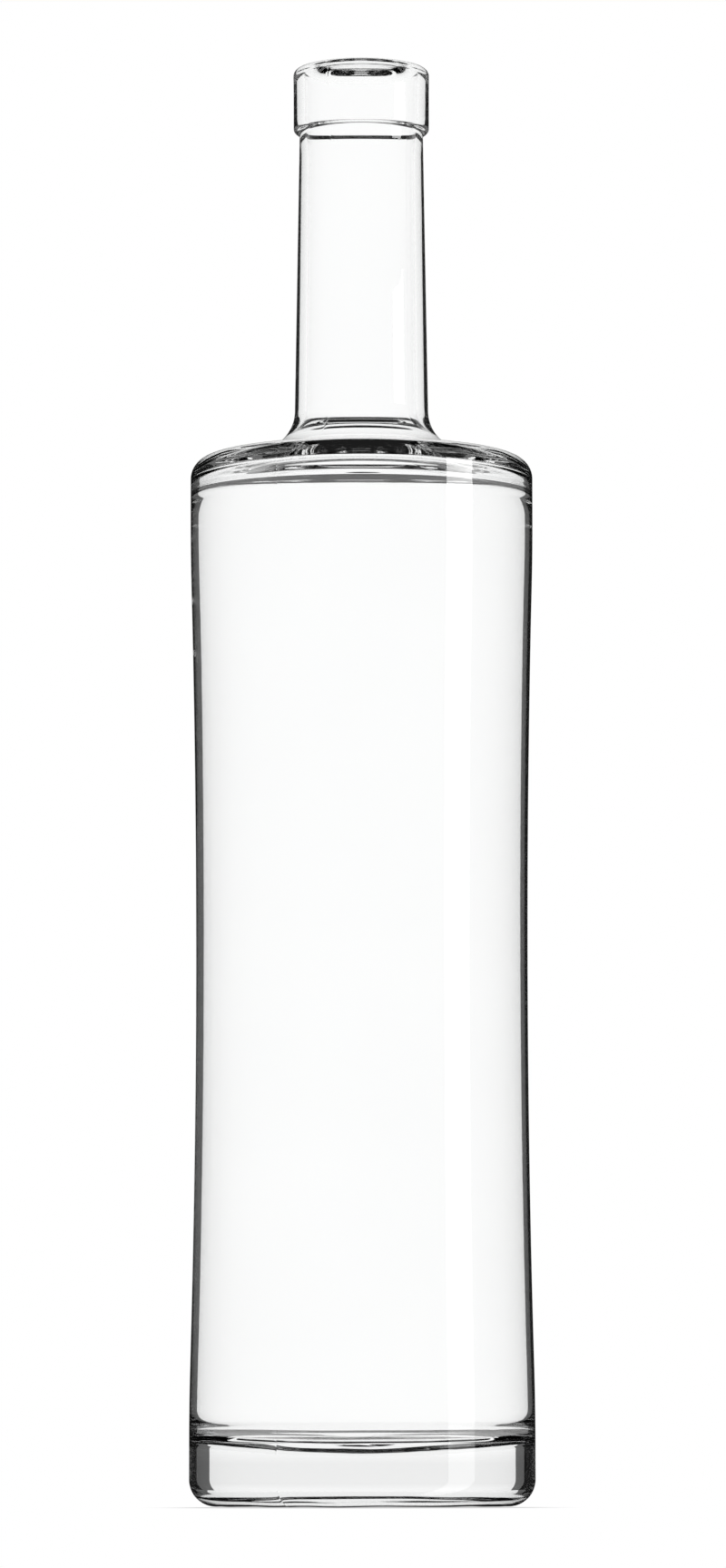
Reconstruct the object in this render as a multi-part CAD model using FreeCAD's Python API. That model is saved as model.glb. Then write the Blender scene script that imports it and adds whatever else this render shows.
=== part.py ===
import FreeCAD, Part
import math
import os

# A tall clear glass bottle, brimful of a clear drink.  The glass is one moulding: a thick
# foot that stands on a flat ring, a slightly waisted body, a nearly flat shoulder, a long
# tapering neck and a heavy ring round the mouth.  Its section is drawn as radius against
# height and revolved about the upright axis, and the drink is turned from the same inside
# line, up to its own level surface.  Lengths are millimetres.  The origin is the middle of
# the face that the bottle stands on.

# Heights on the outside
total_height = 310.0
foot_band_top = 14.0
waist_height = 114.0
shoulder_band_bottom = 212.0
shoulder_corner_height = 224.2
neck_root_height = 227.6
ring_height = 14.2
ring_underside_rise = 0.6

# Outside diameters, and how far the waist draws in from the body
body_diameter = 73.8
waist_depth = 1.35
neck_root_diameter = 29.1
neck_top_diameter = 26.8
ring_diameter = 29.4

# Roundings on the outside
heel_radius = 6.0
waist_blend_share = 0.16
shoulder_corner_radius = 4.4
neck_root_radius = 9.0
ring_seat_radius = 1.2
ring_lower_radius = 1.0
ring_upper_radius = 1.4

# Underside: a flat bearing ring round a shallow push-up with a level middle
bearing_width = 3.0
push_up_height = 2.6
push_up_flat_diameter = 10.0
push_up_edge_radius = 5.0

# Glass thickness
body_wall = 2.5
waist_wall = 2.2
shoulder_plate = 3.6
floor_thickness = 10.8

# Inside of the glass
mouth_diameter = 18.2
mouth_edge_radius = 0.45
mouth_bore_depth = 10.0
neck_bore_top_diameter = 17.0
neck_bore_root_diameter = 18.0
bore_change_length = 8.0
inner_corner_radius = 5.0
inner_neck_root_radius = 8.0
floor_dish_radius = 150.0
floor_corner_radius = 7.5


def at(radius, height):
    """A point of the section."""
    return FreeCAD.Vector(radius, 0, height)


def line(start, end):
    return Part.LineSegment(start, end).toShape()


def arc_about(centre, start, end):
    """The shorter arc about a centre, from one point on it to another."""
    halfway = (start - centre) + (end - centre)
    middle = centre + halfway.normalize() * start.distanceToPoint(centre)
    return Part.Arc(start, middle, end).toShape()


def rounded(corners):
    """Edges along an open run of (point, rounding) corners; its two ends stay sharp."""
    edges = []
    pen = corners[0][0]
    for (before, _), (corner, rounding), (after, _) in zip(corners, corners[1:], corners[2:]):
        back = (before - corner).normalize()
        ahead = (after - corner).normalize()
        half_angle = back.getAngle(ahead) / 2
        leg = rounding / math.tan(half_angle)
        centre = corner + (back + ahead).normalize() * (rounding / math.sin(half_angle))
        start = corner + back * leg
        end = corner + ahead * leg
        edges += [line(pen, start), arc_about(centre, start, end)]
        pen = end
    edges.append(line(pen, corners[-1][0]))
    return edges


def half_waist(band, waist):
    """Two tangent arcs from the upright edge of a band to the upright middle of the waist.

    The short one turns in from the band and the long one is the hollow of the waist.
    """
    depth = band.x - waist.x
    both_radii = (depth**2 + (waist.z - band.z)**2) / (2 * depth)
    blend_radius = waist_blend_share * both_radii
    blend_centre = at(band.x - blend_radius, band.z)
    hollow_centre = at(waist.x + both_radii - blend_radius, waist.z)
    meeting = blend_centre + (hollow_centre - blend_centre) * waist_blend_share
    return [arc_about(blend_centre, band, meeting), arc_about(hollow_centre, meeting, waist)]


def waisted_wall(foot, waist, shoulder):
    """The side of the body, from the foot in to the waist and out again to the shoulder."""
    return half_waist(foot, waist) + half_waist(shoulder, waist)[::-1]


# Radii and heights that follow from the driving dimensions
body_radius = body_diameter / 2
waist_radius = body_radius - waist_depth
mouth_radius = mouth_diameter / 2
rim_middle_radius = (ring_diameter / 2 + mouth_radius) / 2
bearing_inner_radius = body_radius - heel_radius - bearing_width
inner_body_radius = body_radius - body_wall
ring_bottom = total_height - ring_height

# The bottle is brimful, so the drink lies level with the foot of the mouth's rounded edge
drink_level = total_height - mouth_edge_radius


def underside_and_outside():
    """From the middle of the push-up, over the foot, body and neck, to the crest of the rim."""
    under = rounded([
        (at(0, push_up_height), 0),
        (at(push_up_flat_diameter / 2, push_up_height), push_up_edge_radius),
        (at(bearing_inner_radius, 0), push_up_edge_radius),
        (at(body_radius, 0), heel_radius),
        (at(body_radius, foot_band_top), 0),
    ])
    side = waisted_wall(
        at(body_radius, foot_band_top),
        at(waist_radius, waist_height),
        at(body_radius, shoulder_band_bottom),
    )
    top = rounded([
        (at(body_radius, shoulder_band_bottom), 0),
        (at(body_radius, shoulder_corner_height), shoulder_corner_radius),
        (at(neck_root_diameter / 2, neck_root_height), neck_root_radius),
        (at(neck_top_diameter / 2, ring_bottom), ring_seat_radius),
        (at(ring_diameter / 2, ring_bottom + ring_underside_rise), ring_lower_radius),
        (at(ring_diameter / 2, total_height), ring_upper_radius),
        (at(rim_middle_radius, total_height), 0),
    ])
    return under + side + top


def dry_inside():
    """From the crest of the rim, over the mouth's rounded edge, down to the drink."""
    edge_centre = at(mouth_radius + mouth_edge_radius, drink_level)
    edge_top = at(edge_centre.x, total_height)
    return [
        line(at(rim_middle_radius, total_height), edge_top),
        arc_about(edge_centre, edge_top, at(mouth_radius, drink_level)),
    ]


def wetted_inside():
    """From the level of the drink down the neck and body to the middle of the floor."""
    mouth_bottom = total_height - mouth_bore_depth
    corner_height = shoulder_corner_height - shoulder_plate
    root_height = neck_root_height - shoulder_plate
    neck = rounded([
        (at(mouth_radius, drink_level), 0),
        (at(mouth_radius, mouth_bottom), bore_change_length),
        (at(neck_bore_top_diameter / 2, mouth_bottom - bore_change_length), bore_change_length),
        (at(neck_bore_root_diameter / 2, root_height), inner_neck_root_radius),
        (at(inner_body_radius, corner_height), inner_corner_radius),
        (at(inner_body_radius, shoulder_band_bottom), 0),
    ])

    # The corner of the floor touches the wall and the dish, both from inside
    dish_centre = at(0, floor_thickness + floor_dish_radius)
    corner_radial = inner_body_radius - floor_corner_radius
    centre_spacing = floor_dish_radius - floor_corner_radius
    drop = math.sqrt(centre_spacing**2 - corner_radial**2)
    corner_centre = at(corner_radial, dish_centre.z - drop)
    dish_edge = dish_centre + (corner_centre - dish_centre).normalize() * floor_dish_radius
    wall_foot = at(inner_body_radius, corner_centre.z)
    side = waisted_wall(
        at(inner_body_radius, shoulder_band_bottom),
        at(waist_radius - waist_wall, waist_height),
        wall_foot,
    )
    floor = [
        arc_about(corner_centre, wall_foot, dish_edge),
        arc_about(dish_centre, dish_edge, at(0, floor_thickness)),
    ]
    return neck + side + floor


def turned(edges):
    """The solid that a closed line of section edges sweeps round the upright axis."""
    section = Part.Face(Part.Wire(Part.sortEdges(edges)[0]))
    return section.revolve(FreeCAD.Vector(0, 0, 0), FreeCAD.Vector(0, 0, 1), 360)


def glass_bottle():
    axis = line(at(0, floor_thickness), at(0, push_up_height))
    return turned(underside_and_outside() + dry_inside() + wetted_inside() + [axis])


def drink():
    surface = line(at(0, drink_level), at(mouth_radius, drink_level))
    axis = line(at(0, floor_thickness), at(0, drink_level))
    return turned(wetted_inside() + [surface, axis])


os.makedirs("parts", exist_ok=True)
for name, solid in (("glass_bottle", glass_bottle()), ("drink", drink())):
    solid.exportStep(f"parts/{name}.step")
    print(f"{name}: valid {solid.isValid()}, {solid.Volume / 1000:.1f} ml")
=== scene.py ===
"""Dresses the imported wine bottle: flint glass, brimful of a clear drink, in a white studio.

Sizes of the bottle are in millimetres and are turned to metres as a mesh is made. The frame is
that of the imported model: +Z up, with the origin at the centre of the base.
"""

import math

import bpy
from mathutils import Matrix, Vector, noise


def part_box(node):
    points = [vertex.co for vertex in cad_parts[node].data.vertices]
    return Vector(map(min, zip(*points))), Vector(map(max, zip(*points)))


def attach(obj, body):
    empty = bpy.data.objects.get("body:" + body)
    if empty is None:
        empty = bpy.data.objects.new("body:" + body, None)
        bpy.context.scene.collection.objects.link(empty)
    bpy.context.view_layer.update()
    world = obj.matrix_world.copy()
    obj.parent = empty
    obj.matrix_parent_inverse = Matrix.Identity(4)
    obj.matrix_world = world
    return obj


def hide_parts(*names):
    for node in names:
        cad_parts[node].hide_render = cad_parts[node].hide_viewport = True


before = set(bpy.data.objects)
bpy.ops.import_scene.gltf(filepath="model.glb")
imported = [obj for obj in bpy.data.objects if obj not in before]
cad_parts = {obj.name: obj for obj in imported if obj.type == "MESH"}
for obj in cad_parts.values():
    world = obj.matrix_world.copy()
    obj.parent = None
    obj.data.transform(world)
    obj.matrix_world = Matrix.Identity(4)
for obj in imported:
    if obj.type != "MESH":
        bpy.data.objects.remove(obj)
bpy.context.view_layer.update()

MM = 0.001

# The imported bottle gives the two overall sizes.

bottle_low, bottle_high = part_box("glass_bottle")
total_height = (bottle_high.z - bottle_low.z) / MM
body_diameter = (bottle_high.x - bottle_low.x) / MM

# Heights above the surface that the bottle stands on, and of the ring round the mouth.

foot_band_top = 14.0
waist_height = 114.0
shoulder_band_bottom = 212.0
shoulder_corner_height = 224.2
neck_root_height = 227.6
ring_height = 14.2
ring_underside_rise = 0.6

# Diameters and roundings of the outside, and how far the waist draws in from the body.

waist_depth = 1.35
neck_root_diameter = 29.1
neck_top_diameter = 26.8
ring_diameter = 29.4
heel_radius = 6.0
waist_blend_share = 0.16
shoulder_corner_radius = 4.4
neck_root_radius = 9.0
ring_seat_radius = 1.2
ring_lower_radius = 1.0
ring_upper_radius = 1.4

# The underside: a flat bearing ring round a shallow push-up with a level middle.

bearing_width = 3.0
push_up_height = 2.6
push_up_flat_diameter = 10.0
push_up_edge_radius = 5.0

# The thickness of the glass, and its inside. The mouth's edge and the inner neck root are
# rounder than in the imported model, so that they bend the light as those of a real bottle do.

body_wall = 2.5
waist_wall = 2.2
shoulder_plate = 3.6
floor_thickness = 10.8
mouth_diameter = 18.2
mouth_edge_radius = 1.2
mouth_bore_depth = 10.0
neck_bore_top_diameter = 17.0
neck_bore_root_diameter = 18.0
bore_change_length = 8.0
inner_corner_radius = 5.0
inner_neck_root_radius = 11.0
floor_dish_radius = 150.0
floor_corner_radius = 7.5

# The drink: how far under the rim its edge meets the glass, how far its middle lies under that
# edge, over what length it falls away from it, and how far its piece reaches into the wall. In
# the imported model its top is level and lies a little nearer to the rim.

drink_below_rim = 0.87
meniscus_rise = 2.8
meniscus_length = 2.1
drink_in_wall = 0.1

# The two upright seams of the mould, as angles about the axis from +X.

mould_seams = (math.radians(61), math.radians(241))
seam_height = 0.03
seam_step = 0.02
seam_width = 0.5
seam_sharpness = 4

# Waves in the faces of the glass, each with its depth, its length and a number that shifts it.
# They are stretched upward, as the glass is while it is blown.

outside_waves = ((0.012, 26, 11), (0.004, 9, 23))
underside_waves = ((0.2, 10, 31),)
inside_waves = ((0.1, 60, 3), (0.012, 20, 7), (0.003, 6, 17))
floor_waves = ((0.15, 14, 41),)
wave_stretch = 2.5

# Over what distance the waves fade out towards an edge.

rim_fade = 6.0
drink_edge_fade = 12.0
heel_fade = 1.0
push_up_fade = 1.0
floor_waves_full = 2.0
floor_waves_end = 9.0

# How finely the meshes are cut.

SEGMENTS = 168
SEAM_CUTS = (-1.0, -0.5, -0.2, 0.0, 0.2, 0.5, 1.0)
ARC_STEP = 0.3
FINE_ARC_STEP = 0.1
DISH_STEP = 1.0
SURFACE_STEP = 0.15
WALL_STEP = 3.0
LEAST_ARC_CUTS = 7
MOST_ARC_CUTS = 90
SAME_POINT = 0.02
ON_AXIS = 1e-6


# ---------------------------------------------------------------- turned sections


def at(radius, height):
    """A point of the section: its distance from the axis and its height."""
    return Vector((radius, height))


def line(start, end):
    """Points along a straight run, close enough together to carry the glass's unevenness."""
    count = max(1, int((end - start).length / WALL_STEP))
    return [start.lerp(end, step / count) for step in range(count + 1)]


def arc_about(centre, start, end, step=ARC_STEP):
    """Points along the short arc from start to end."""
    radius = (start - centre).length
    first = math.atan2(start.y - centre.y, start.x - centre.x)
    last = math.atan2(end.y - centre.y, end.x - centre.x)
    sweep = (last - first + math.pi) % (2 * math.pi) - math.pi
    count = int(abs(sweep) * radius / step)
    count = min(MOST_ARC_CUTS, max(LEAST_ARC_CUTS, count))
    angles = [first + sweep * cut / count for cut in range(count + 1)]
    return [centre + radius * Vector((math.cos(a), math.sin(a))) for a in angles]


def rounded(corners):
    """Straight runs through the corners, each given with the radius that rounds it."""
    points = []
    pen = corners[0][0]
    for (before, _), (corner, radius), (after, _) in zip(corners, corners[1:], corners[2:]):
        back = (before - corner).normalized()
        ahead = (after - corner).normalized()
        half_angle = back.angle(ahead) / 2
        leg = radius / math.tan(half_angle)
        centre = corner + (back + ahead).normalized() * radius / math.sin(half_angle)
        points += line(pen, corner + back * leg)
        points += arc_about(centre, corner + back * leg, corner + ahead * leg)
        pen = corner + ahead * leg
    return points + line(pen, corners[-1][0])


def half_waist(band, waist):
    """From the end of a band, where the wall is upright, to the waist, where it is again."""
    depth = band.x - waist.x
    rise = waist.y - band.y
    both_radii = (depth**2 + rise**2) / (2 * depth)
    blend_radius = waist_blend_share * both_radii
    blend_centre = at(band.x - blend_radius, band.y)
    hollow_centre = at(waist.x + both_radii - blend_radius, waist.y)
    meeting = blend_centre.lerp(hollow_centre, waist_blend_share)
    blend = arc_about(blend_centre, band, meeting, WALL_STEP)
    return blend + arc_about(hollow_centre, meeting, waist, WALL_STEP)


def waisted_wall(foot, waist, shoulder):
    """The wall between two bands, drawn in a little at the waist."""
    return half_waist(foot, waist) + half_waist(shoulder, waist)[::-1]


body_radius = body_diameter / 2
waist_radius = body_radius - waist_depth
bearing_inner_radius = body_radius - heel_radius - bearing_width
ring_radius = ring_diameter / 2
ring_bottom = total_height - ring_height
mouth_radius = mouth_diameter / 2
rim_middle_radius = (ring_radius + mouth_radius) / 2
inner_body_radius = body_radius - body_wall

# The drink meets the glass on the mouth's rounded edge.

mouth_edge_foot = total_height - mouth_edge_radius
mouth_edge_centre = at(mouth_radius + mouth_edge_radius, mouth_edge_foot)
drink_level = total_height - drink_below_rim
drink_above_foot = drink_level - mouth_edge_foot
drink_radius = mouth_edge_centre.x - math.sqrt(mouth_edge_radius**2 - drink_above_foot**2)
drink_edge = at(drink_radius, drink_level)


def outside():
    """From the middle of the underside round the foot, up the wall and neck to the rim."""
    underside = rounded(
        [
            (at(0, push_up_height), 0),
            (at(push_up_flat_diameter / 2, push_up_height), push_up_edge_radius),
            (at(bearing_inner_radius, 0), push_up_edge_radius),
            (at(body_radius, 0), heel_radius),
            (at(body_radius, foot_band_top), 0),
        ]
    )
    side = waisted_wall(
        at(body_radius, foot_band_top),
        at(waist_radius, waist_height),
        at(body_radius, shoulder_band_bottom),
    )
    top = rounded(
        [
            (at(body_radius, shoulder_band_bottom), 0),
            (at(body_radius, shoulder_corner_height), shoulder_corner_radius),
            (at(neck_root_diameter / 2, neck_root_height), neck_root_radius),
            (at(neck_top_diameter / 2, ring_bottom), ring_seat_radius),
            (at(ring_radius, ring_bottom + ring_underside_rise), ring_lower_radius),
            (at(ring_radius, total_height), ring_upper_radius),
            (at(rim_middle_radius, total_height), 0),
        ]
    )
    return underside + side + top


def dry_inside():
    """From the rim on to the mouth's rounded edge, down to the drink."""
    edge_top = at(mouth_edge_centre.x, total_height)
    crest = line(at(rim_middle_radius, total_height), edge_top)
    return crest + arc_about(mouth_edge_centre, edge_top, drink_edge, FINE_ARC_STEP)


def wetted_inside():
    """From the edge of the drink down the neck and wall to the middle of the floor."""
    edge_bottom = at(mouth_radius, mouth_edge_foot)
    mouth_bottom = total_height - mouth_bore_depth
    narrowing_bottom = mouth_bottom - bore_change_length
    root_height = neck_root_height - shoulder_plate
    edge = arc_about(mouth_edge_centre, drink_edge, edge_bottom, FINE_ARC_STEP)
    neck = rounded(
        [
            (edge_bottom, 0),
            (at(mouth_radius, mouth_bottom), bore_change_length),
            (at(neck_bore_top_diameter / 2, narrowing_bottom), bore_change_length),
            (at(neck_bore_root_diameter / 2, root_height), inner_neck_root_radius),
            (at(inner_body_radius, shoulder_corner_height - shoulder_plate), inner_corner_radius),
            (at(inner_body_radius, shoulder_band_bottom), 0),
        ]
    )

    # The corner of the floor touches the wall and the dish, both from inside.
    dish_centre = at(0, floor_thickness + floor_dish_radius)
    corner_x = inner_body_radius - floor_corner_radius
    reach = floor_dish_radius - floor_corner_radius
    corner_centre = at(corner_x, dish_centre.y - math.sqrt(reach**2 - corner_x**2))
    wall_foot = at(inner_body_radius, corner_centre.y)
    dish_edge = dish_centre + (corner_centre - dish_centre).normalized() * floor_dish_radius
    side = waisted_wall(
        at(inner_body_radius, shoulder_band_bottom),
        at(waist_radius - waist_wall, waist_height),
        wall_foot,
    )
    corner = arc_about(corner_centre, wall_foot, dish_edge)
    dish = arc_about(dish_centre, dish_edge, at(0, floor_thickness), DISH_STEP)
    return edge + neck + side + corner + dish


def drink_surface():
    """The top of the drink from the glass to the middle; it climbs a little up the glass."""
    count = math.ceil(drink_radius / SURFACE_STEP)
    points = []
    for step in range(count + 1):
        from_glass = drink_radius * step / count
        sunk = meniscus_rise * (1 - math.exp(-from_glass / meniscus_length))
        points.append(at(drink_radius - from_glass, drink_level - sunk))
    return points


def section_normal(points, index):
    """The way square to a run at one of its points, to the right of its course."""
    along = points[min(index + 1, len(points) - 1)] - points[max(index - 1, 0)]
    along.normalize()
    return at(along.y, -along.x)


def pushed_left(points, distance):
    """The same run moved square to itself, to the left of its course."""
    return [point - section_normal(points, i) * distance for i, point in enumerate(points)]


# ---------------------------------------------------------------- the glass's unevenness


def ripple(place, length, shift):
    """Smooth noise from -1 to 1 whose waves are about this long; up the wall they are longer."""
    upward = place.z / length / wave_stretch + shift
    return noise.noise(Vector((place.x / length, place.y / length, upward)))


def even_waves(place, waves):
    """Waves to either side of the true form."""
    return sum(depth * ripple(place, length, shift) for depth, length, shift in waves)


def inward_waves(place, waves):
    """Waves that reach the true form at their crests and never pass it."""
    return -sum(depth * (1 + ripple(place, length, shift)) for depth, length, shift in waves)


def share_of(value, none, whole):
    """Nought where the value is none, one where it is whole, and even in between."""
    return max(0.0, min(1.0, (value - none) / (whole - none)))


def at_seams(place):
    """The fine ridges where the halves of the mould met; one half sits a little deeper."""
    turn = math.atan2(place.y, place.x) % (2 * math.pi)
    from_seam = min(abs(turn - seam) for seam in mould_seams) * body_radius / seam_width
    step = seam_step if mould_seams[0] < turn < mould_seams[1] else 0
    return -seam_height * (1 - math.exp(-seam_sharpness * from_seam**2)) - step


def outside_relief(place):
    """How far the outside lies from its true form, in millimetres.

    It is nearly even; only the underside, which the mould's bottom plate chills, is rougher.
    """
    from_rim = share_of(place.z, total_height, total_height - rim_fade)
    off_axis = math.hypot(place.x, place.y)
    underside = share_of(off_axis, body_radius - heel_fade, body_radius - heel_radius)
    underside *= share_of(place.z, push_up_height + push_up_fade, push_up_height)
    moulded = inward_waves(place, outside_waves) + at_seams(place)
    return moulded * from_rim + inward_waves(place, underside_waves) * underside


def inside_relief(place):
    """How far the blown inside strays from its true form: it is never quite even."""
    from_drink_edge = share_of(place.z, drink_level, drink_level - drink_edge_fade)
    above_floor = place.z - floor_thickness
    at_floor = share_of(above_floor, floor_waves_end, floor_waves_full)
    relief = even_waves(place, inside_waves) + even_waves(place, floor_waves) * at_floor
    return relief * from_drink_edge


def drink_relief(place):
    """The drink follows the glass, seen from its other side."""
    return -inside_relief(place)


# ---------------------------------------------------------------- meshes


def turning_angles():
    """Even steps round the axis, with close cuts where a mould seam runs."""
    even = [2 * math.pi * step / SEGMENTS for step in range(SEGMENTS)]
    cut_angle = seam_width / body_radius
    close = [seam + cut * cut_angle for seam in mould_seams for cut in SEAM_CUTS]
    spaced = [angle for angle in even if min(abs(angle - other) for other in close) > cut_angle / 2]
    return sorted(spaced + close)


def smooth_object(name, verts, faces, face_slots, materials):
    """A smoothly shaded object in the scene; each face has the number of its material."""
    mesh = bpy.data.meshes.new(name)
    mesh.from_pydata(verts, [], faces)
    for material in materials:
        mesh.materials.append(material)
    mesh.polygons.foreach_set("material_index", face_slots)
    mesh.polygons.foreach_set("use_smooth", [True] * len(faces))
    mesh.update()
    piece = bpy.data.objects.new(name, mesh)
    bpy.context.scene.collection.objects.link(piece)
    return piece


def turned_piece(name, runs, materials):
    """Runs of (points, material slot, relief or None) turned about the upright axis."""
    points, slots, reliefs = [], [], []
    for run, slot, relief in runs:
        for point in run:
            if points and (point - points[-1]).length < SAME_POINT:
                continue
            points.append(point)
            slots.append(slot)
            reliefs.append(relief)
    angles = turning_angles()
    verts, rings = [], []
    for index, point in enumerate(points):
        normal = section_normal(points, index)
        on_axis = point.x < ON_AXIS
        rings.append(range(len(verts), len(verts) + (1 if on_axis else len(angles))))
        for angle in angles[:1] if on_axis else angles:
            turn = Vector((math.cos(angle), math.sin(angle)))
            moved = point
            if reliefs[index] and not on_axis:
                place = Vector((point.x * turn.x, point.x * turn.y, point.y))
                moved = point + normal * reliefs[index](place)
            verts.append((moved.x * turn.x * MM, moved.x * turn.y * MM, moved.y * MM))
    faces, face_slots = [], []
    for lower, upper, slot in zip(rings, rings[1:], slots[1:]):
        for here in range(len(angles)):
            ahead = (here + 1) % len(angles)
            if len(lower) == 1:
                face = (lower[0], upper[ahead], upper[here])
            elif len(upper) == 1:
                face = (lower[here], lower[ahead], upper[0])
            else:
                face = (lower[here], lower[ahead], upper[ahead], upper[here])
            faces.append(face)
            face_slots.append(slot)
    print(name, len(points), "points,", sum(len(face) - 2 for face in faces), "triangles")
    return smooth_object(name, verts, faces, face_slots, materials)


# ---------------------------------------------------------------- materials


class Nodes:
    """A short way to add nodes to a material or world."""

    def __init__(self, owner):
        owner.use_nodes = True
        self.tree = owner.node_tree
        self.tree.nodes.clear()

    def add(self, kind, links=None, values=None):
        """A node with these linked sockets and these numbers; it gives the node's outputs."""
        node = self.tree.nodes.new(kind)
        for name, value in (values or {}).items():
            node.inputs[name].default_value = value
        for name, socket in (links or {}).items():
            self.tree.links.new(socket, node.inputs[name])
        return node.outputs

    def noise(self, place, scale, detail):
        """Smooth noise from 0 to 1 over a place."""
        values = {"Scale": scale, "Detail": detail}
        return self.add("ShaderNodeTexNoise", {"Vector": place}, values)["Fac"]

    def ramp(self, value, start, end, low, high):
        """The value carried from start..end to low..high, held at either end."""
        values = {"From Min": start, "From Max": end, "To Min": low, "To Max": high}
        return self.add("ShaderNodeMapRange", {"Value": value}, values)["Result"]

    def times(self, value, factor):
        """A socket's value times a number."""
        node = self.tree.nodes.new("ShaderNodeMath")
        node.operation = "MULTIPLY"
        self.tree.links.new(value, node.inputs[0])
        node.inputs[1].default_value = factor
        return node.outputs["Value"]

    def blend(self, share, low, high):
        """From the low colour to the high one; each is a socket or three numbers."""
        node = self.tree.nodes.new("ShaderNodeMix")
        node.data_type = "RGBA"
        self.tree.links.new(share, node.inputs["Factor"])
        colour_sockets = [socket for socket in node.inputs if socket.type == "RGBA"]
        for socket, colour in zip(colour_sockets, (low, high)):
            if isinstance(colour, tuple):
                socket.default_value = (*colour, 1)
            else:
                self.tree.links.new(colour, socket)
        return next(socket for socket in node.outputs if socket.type == "RGBA")


# The tone drifts in soft clouds, and the surface has a fine grain; both are noise over metres.

cloud_scale = 30.0
cloud_detail = 3.0
cloud_share = 0.985
grain_scale = 160.0
grain_detail = 2.0

# The tone of the foot reaches a little higher than the floor and fades on both sides of that.

foot_tone_top = floor_thickness + 0.5
foot_tone_fade = 2.0


def clear_material(name, ior, tone, foot_tone, grain_depth):
    """Something clear. Its colour is what light keeps in passing two such surfaces.

    It is a little uneven all over and greyer round the foot, where the glass is thickest.
    """
    material = bpy.data.materials.new(name)
    nodes = Nodes(material)
    place = nodes.add("ShaderNodeTexCoord")["Object"]
    height = nodes.add("ShaderNodeSeparateXYZ", {"Vector": place})["Z"]
    cloud = nodes.noise(place, cloud_scale, cloud_detail)
    duller = tuple(share * cloud_share for share in tone)
    body_tone = nodes.blend(cloud, duller, tone)
    fade_start = (foot_tone_top - foot_tone_fade) * MM
    fade_end = (foot_tone_top + foot_tone_fade) * MM
    in_foot = nodes.ramp(height, fade_start, fade_end, 1.0, 0.0)
    colour = nodes.blend(in_foot, body_tone, foot_tone)
    grain = nodes.noise(place, grain_scale, grain_detail)
    bump = nodes.add("ShaderNodeBump", {"Height": grain}, {"Distance": grain_depth * MM})
    surface = nodes.add(
        "ShaderNodeBsdfPrincipled",
        {"Base Color": colour, "Normal": bump["Normal"]},
        {"Roughness": 0.0, "IOR": ior, "Transmission Weight": 1.0},
    )
    nodes.add("ShaderNodeOutputMaterial", {"Surface": surface["BSDF"]})
    return material


# Light bends where the glass meets air, where it meets the drink and at the top of the drink.
# The drink's side is hidden in the wall and bends nothing.

glass_ior = 1.52
drink_ior = 1.34
wetted_ior = glass_ior / drink_ior
hidden_ior = 1.0
flint = (0.995, 1.0, 0.998)
flint_foot = (0.838, 0.842, 0.841)
water_white = (1.0, 1.0, 1.0)
outer_grain = 0.006
inner_grain = 0.012
no_grain = 0.0

flint_glass = clear_material("flint glass", glass_ior, flint, flint_foot, outer_grain)
wetted_glass = clear_material(
    "flint glass against drink", wetted_ior, water_white, water_white, inner_grain
)
drink_top = clear_material("clear drink", drink_ior, water_white, water_white, no_grain)
drink_side = clear_material(
    "clear drink against glass", hidden_ior, water_white, water_white, no_grain
)


# ---------------------------------------------------------------- the two pieces

inside_of_glass = wetted_inside()

bottle = turned_piece(
    "bottle",
    [
        (outside(), 0, outside_relief),
        (dry_inside(), 0, None),
        (inside_of_glass, 1, inside_relief),
    ],
    [flint_glass, wetted_glass],
)
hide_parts("glass_bottle")

# The side of the drink lies in the wall, from the axis up to the level of the drink's edge.

hidden_edge = at(drink_radius + drink_in_wall, drink_level)
side_of_drink = pushed_left(inside_of_glass, drink_in_wall)[::-1]
side_of_drink[0].x = 0
side_of_drink[-1] = hidden_edge

filling = turned_piece(
    "filling",
    [
        (side_of_drink, 0, drink_relief),
        ([hidden_edge, drink_edge], 0, None),
        (drink_surface(), 1, None),
    ],
    [drink_side, drink_top],
)
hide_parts("drink")

for piece, slot in ((bottle, "flint_glass"), (filling, "clear_drink")):
    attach(piece, "root")


# ---------------------------------------------------------------- camera

# Places are in metres, and the sensor and the lens in millimetres.

camera_distance = 1.470
camera_height = 0.006
camera_tilt = math.radians(5.766)
camera_lean = 0.0008
sensor_height = 36
lens_length = 158.071
sideways_shift = 0.00046
nearest_seen = 0.01
farthest_seen = 100

camera_data = bpy.data.cameras.new("camera")
camera_data.sensor_fit = "VERTICAL"
camera_data.sensor_height = sensor_height
camera_data.lens = lens_length
camera_data.shift_x = sideways_shift
camera_data.clip_start = nearest_seen
camera_data.clip_end = farthest_seen
camera = bpy.data.objects.new("camera", camera_data)
camera.location = (0, -camera_distance, camera_height)
camera.rotation_euler = (math.pi / 2 + camera_tilt, camera_lean, 0)
bpy.context.scene.collection.objects.link(camera)
bpy.context.scene.camera = camera
bpy.context.view_layer.update()


# ---------------------------------------------------------------- studio

# The cards stand far off, and past them the room is dark to the glass. Their edges are in
# degrees: azimuths from the way the camera looks towards its right, elevations from the level.

studio_radius = 30.0
card_cut = math.radians(1)
card_top = 31
card_bottom = -60
card_left = -52
card_right = 51.5
wing_left = -61
wing_right = 66.5
strip_azimuths = (100, 121)
strip_split = 7.6
strip_top = 12.0
back_light = 1.1
wing_light = 0.17
dim_strip_light = 1.8
bright_strip_light = 9.0
room_light = 0.012

# How uneven the light of a card is, over waves of many metres.

patchiness = 0.004
patch_scale = 0.05
patch_detail = 1.0
patch_low = 0.3
patch_high = 0.7


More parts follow.
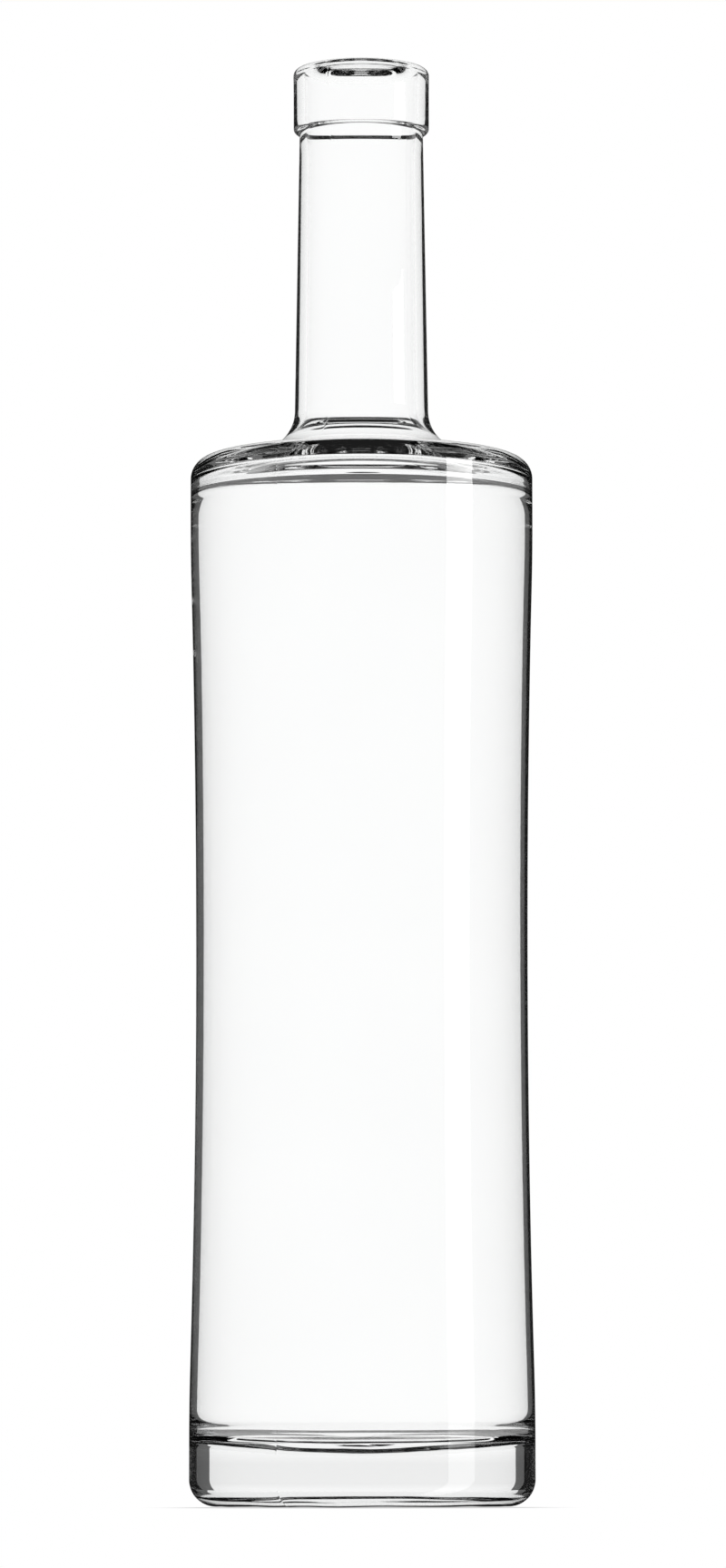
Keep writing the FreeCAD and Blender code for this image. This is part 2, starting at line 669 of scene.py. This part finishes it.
def glow(name, strength):
    """A plain glowing white surface, very slightly uneven as a lit card is."""
    material = bpy.data.materials.new(name)
    nodes = Nodes(material)
    place = nodes.add("ShaderNodeTexCoord")["Object"]
    patches = nodes.noise(place, patch_scale, patch_detail)
    uneven = nodes.ramp(patches, patch_low, patch_high, 1 - patchiness, 1 + patchiness)
    light = nodes.add("ShaderNodeEmission", {"Strength": nodes.times(uneven, strength)})
    nodes.add("ShaderNodeOutputMaterial", {"Surface": light["Emission"]})
    return material


def even_cuts(low, high):
    """Angles from low to high, both given in degrees, about one degree apart."""
    start = math.radians(low)
    sweep = math.radians(high) - start
    count = math.ceil(sweep / card_cut)
    return [start + sweep * step / count for step in range(count + 1)]


def card(name, azimuths, elevations, strength, mirrored):
    """A far curved card. It turns with the camera, as a photographer's lights do.

    It shows either as a mirrored light on the glass or through the glass, never as both.
    """
    columns = even_cuts(*azimuths)
    rows = even_cuts(*elevations)
    verts = []
    for elevation in rows:
        out = math.cos(elevation) * studio_radius
        up = math.sin(elevation) * studio_radius
        verts += [(out * math.sin(azimuth), out * math.cos(azimuth), up) for azimuth in columns]
    across = len(columns)
    faces = []
    for row in range(len(rows) - 1):
        for column in range(across - 1):
            corner = row * across + column
            faces.append((corner, corner + 1, corner + 1 + across, corner + across))
    piece = smooth_object(name, verts, faces, [0] * len(faces), [glow(name, strength)])
    piece.visible_camera = False
    piece.visible_glossy = mirrored
    piece.visible_transmission = not mirrored
    piece.parent = camera
    piece.matrix_parent_inverse = camera.matrix_world.inverted()


card_heights = (card_bottom, card_top)
card("back card", (card_left, card_right), card_heights, back_light, False)
card("left wing", (wing_left, card_left), card_heights, wing_light, False)
card("right wing", (card_right, wing_right), card_heights, wing_light, False)

# The body mirrors the dim lower length, and the top of the body and the neck the bright one.

card("dim strip light", strip_azimuths, (card_bottom, strip_split), dim_strip_light, True)
card("bright strip light", strip_azimuths, (strip_split, strip_top), bright_strip_light, True)


def studio_world():
    """White to the camera and nearly black to the glass, which the cards light."""
    world = bpy.data.worlds.new("studio")
    bpy.context.scene.world = world
    nodes = Nodes(world)
    seen = nodes.add("ShaderNodeLightPath")["Is Camera Ray"]
    level = nodes.ramp(seen, 0.0, 1.0, room_light, 1.0)
    light = nodes.add("ShaderNodeBackground", {"Strength": level}, {"Color": (1, 1, 1, 1)})
    nodes.add("ShaderNodeOutputWorld", {"Surface": light["Background"]})


# The floor, and the shadow where the bottle closes it off from the open air.

floor_reach = 16.0
shadow_reach = 0.012
shadow_air = 0.4
shadow_tone = 0.6


def studio_floor():
    """A pale floor that the camera sees as white but for the bottle's soft shadow."""
    turns = [math.pi / 2 + 2 * math.pi * corner / 3 for corner in range(3)]
    corners = [(floor_reach * math.cos(turn), floor_reach * math.sin(turn), 0) for turn in turns]
    mesh = bpy.data.meshes.new("floor")
    mesh.from_pydata(corners, [], [(0, 1, 2)])
    material = bpy.data.materials.new("floor")
    nodes = Nodes(material)
    open_air = nodes.add("ShaderNodeAmbientOcclusion", {}, {"Distance": shadow_reach})["AO"]
    shade = nodes.ramp(open_air, shadow_air, 1.0, shadow_tone, 1.0)
    light = nodes.add("ShaderNodeEmission", {"Strength": shade})
    nodes.add("ShaderNodeOutputMaterial", {"Surface": light["Emission"]})
    mesh.materials.append(material)
    floor = bpy.data.objects.new("floor", mesh)
    floor.visible_glossy = False
    floor.visible_transmission = False
    bpy.context.scene.collection.objects.link(floor)


lamp_size = 1.2
lamp_power = 20
lamp_place = (-0.7, -1.3, 1.7)


def soft_lamp():
    """A large soft lamp in front, for matt surfaces; the glass doesn't mirror it."""
    lamp_data = bpy.data.lights.new("soft lamp", "AREA")
    lamp_data.size = lamp_size
    lamp_data.energy = lamp_power
    lamp = bpy.data.objects.new("soft lamp", lamp_data)
    lamp.location = lamp_place
    lamp.rotation_euler = (-lamp.location).to_track_quat("-Z", "Y").to_euler()
    lamp.visible_glossy = False
    lamp.visible_transmission = False
    bpy.context.scene.collection.objects.link(lamp)


studio_world()
studio_floor()
soft_lamp()

# Light crosses many faces of glass and drink on its way through the foot.

bounces = 28

scene = bpy.context.scene
scene.view_settings.view_transform = "Standard"
scene.cycles.max_bounces = bounces
scene.cycles.transmission_bounces = bounces
scene.cycles.glossy_bounces = bounces
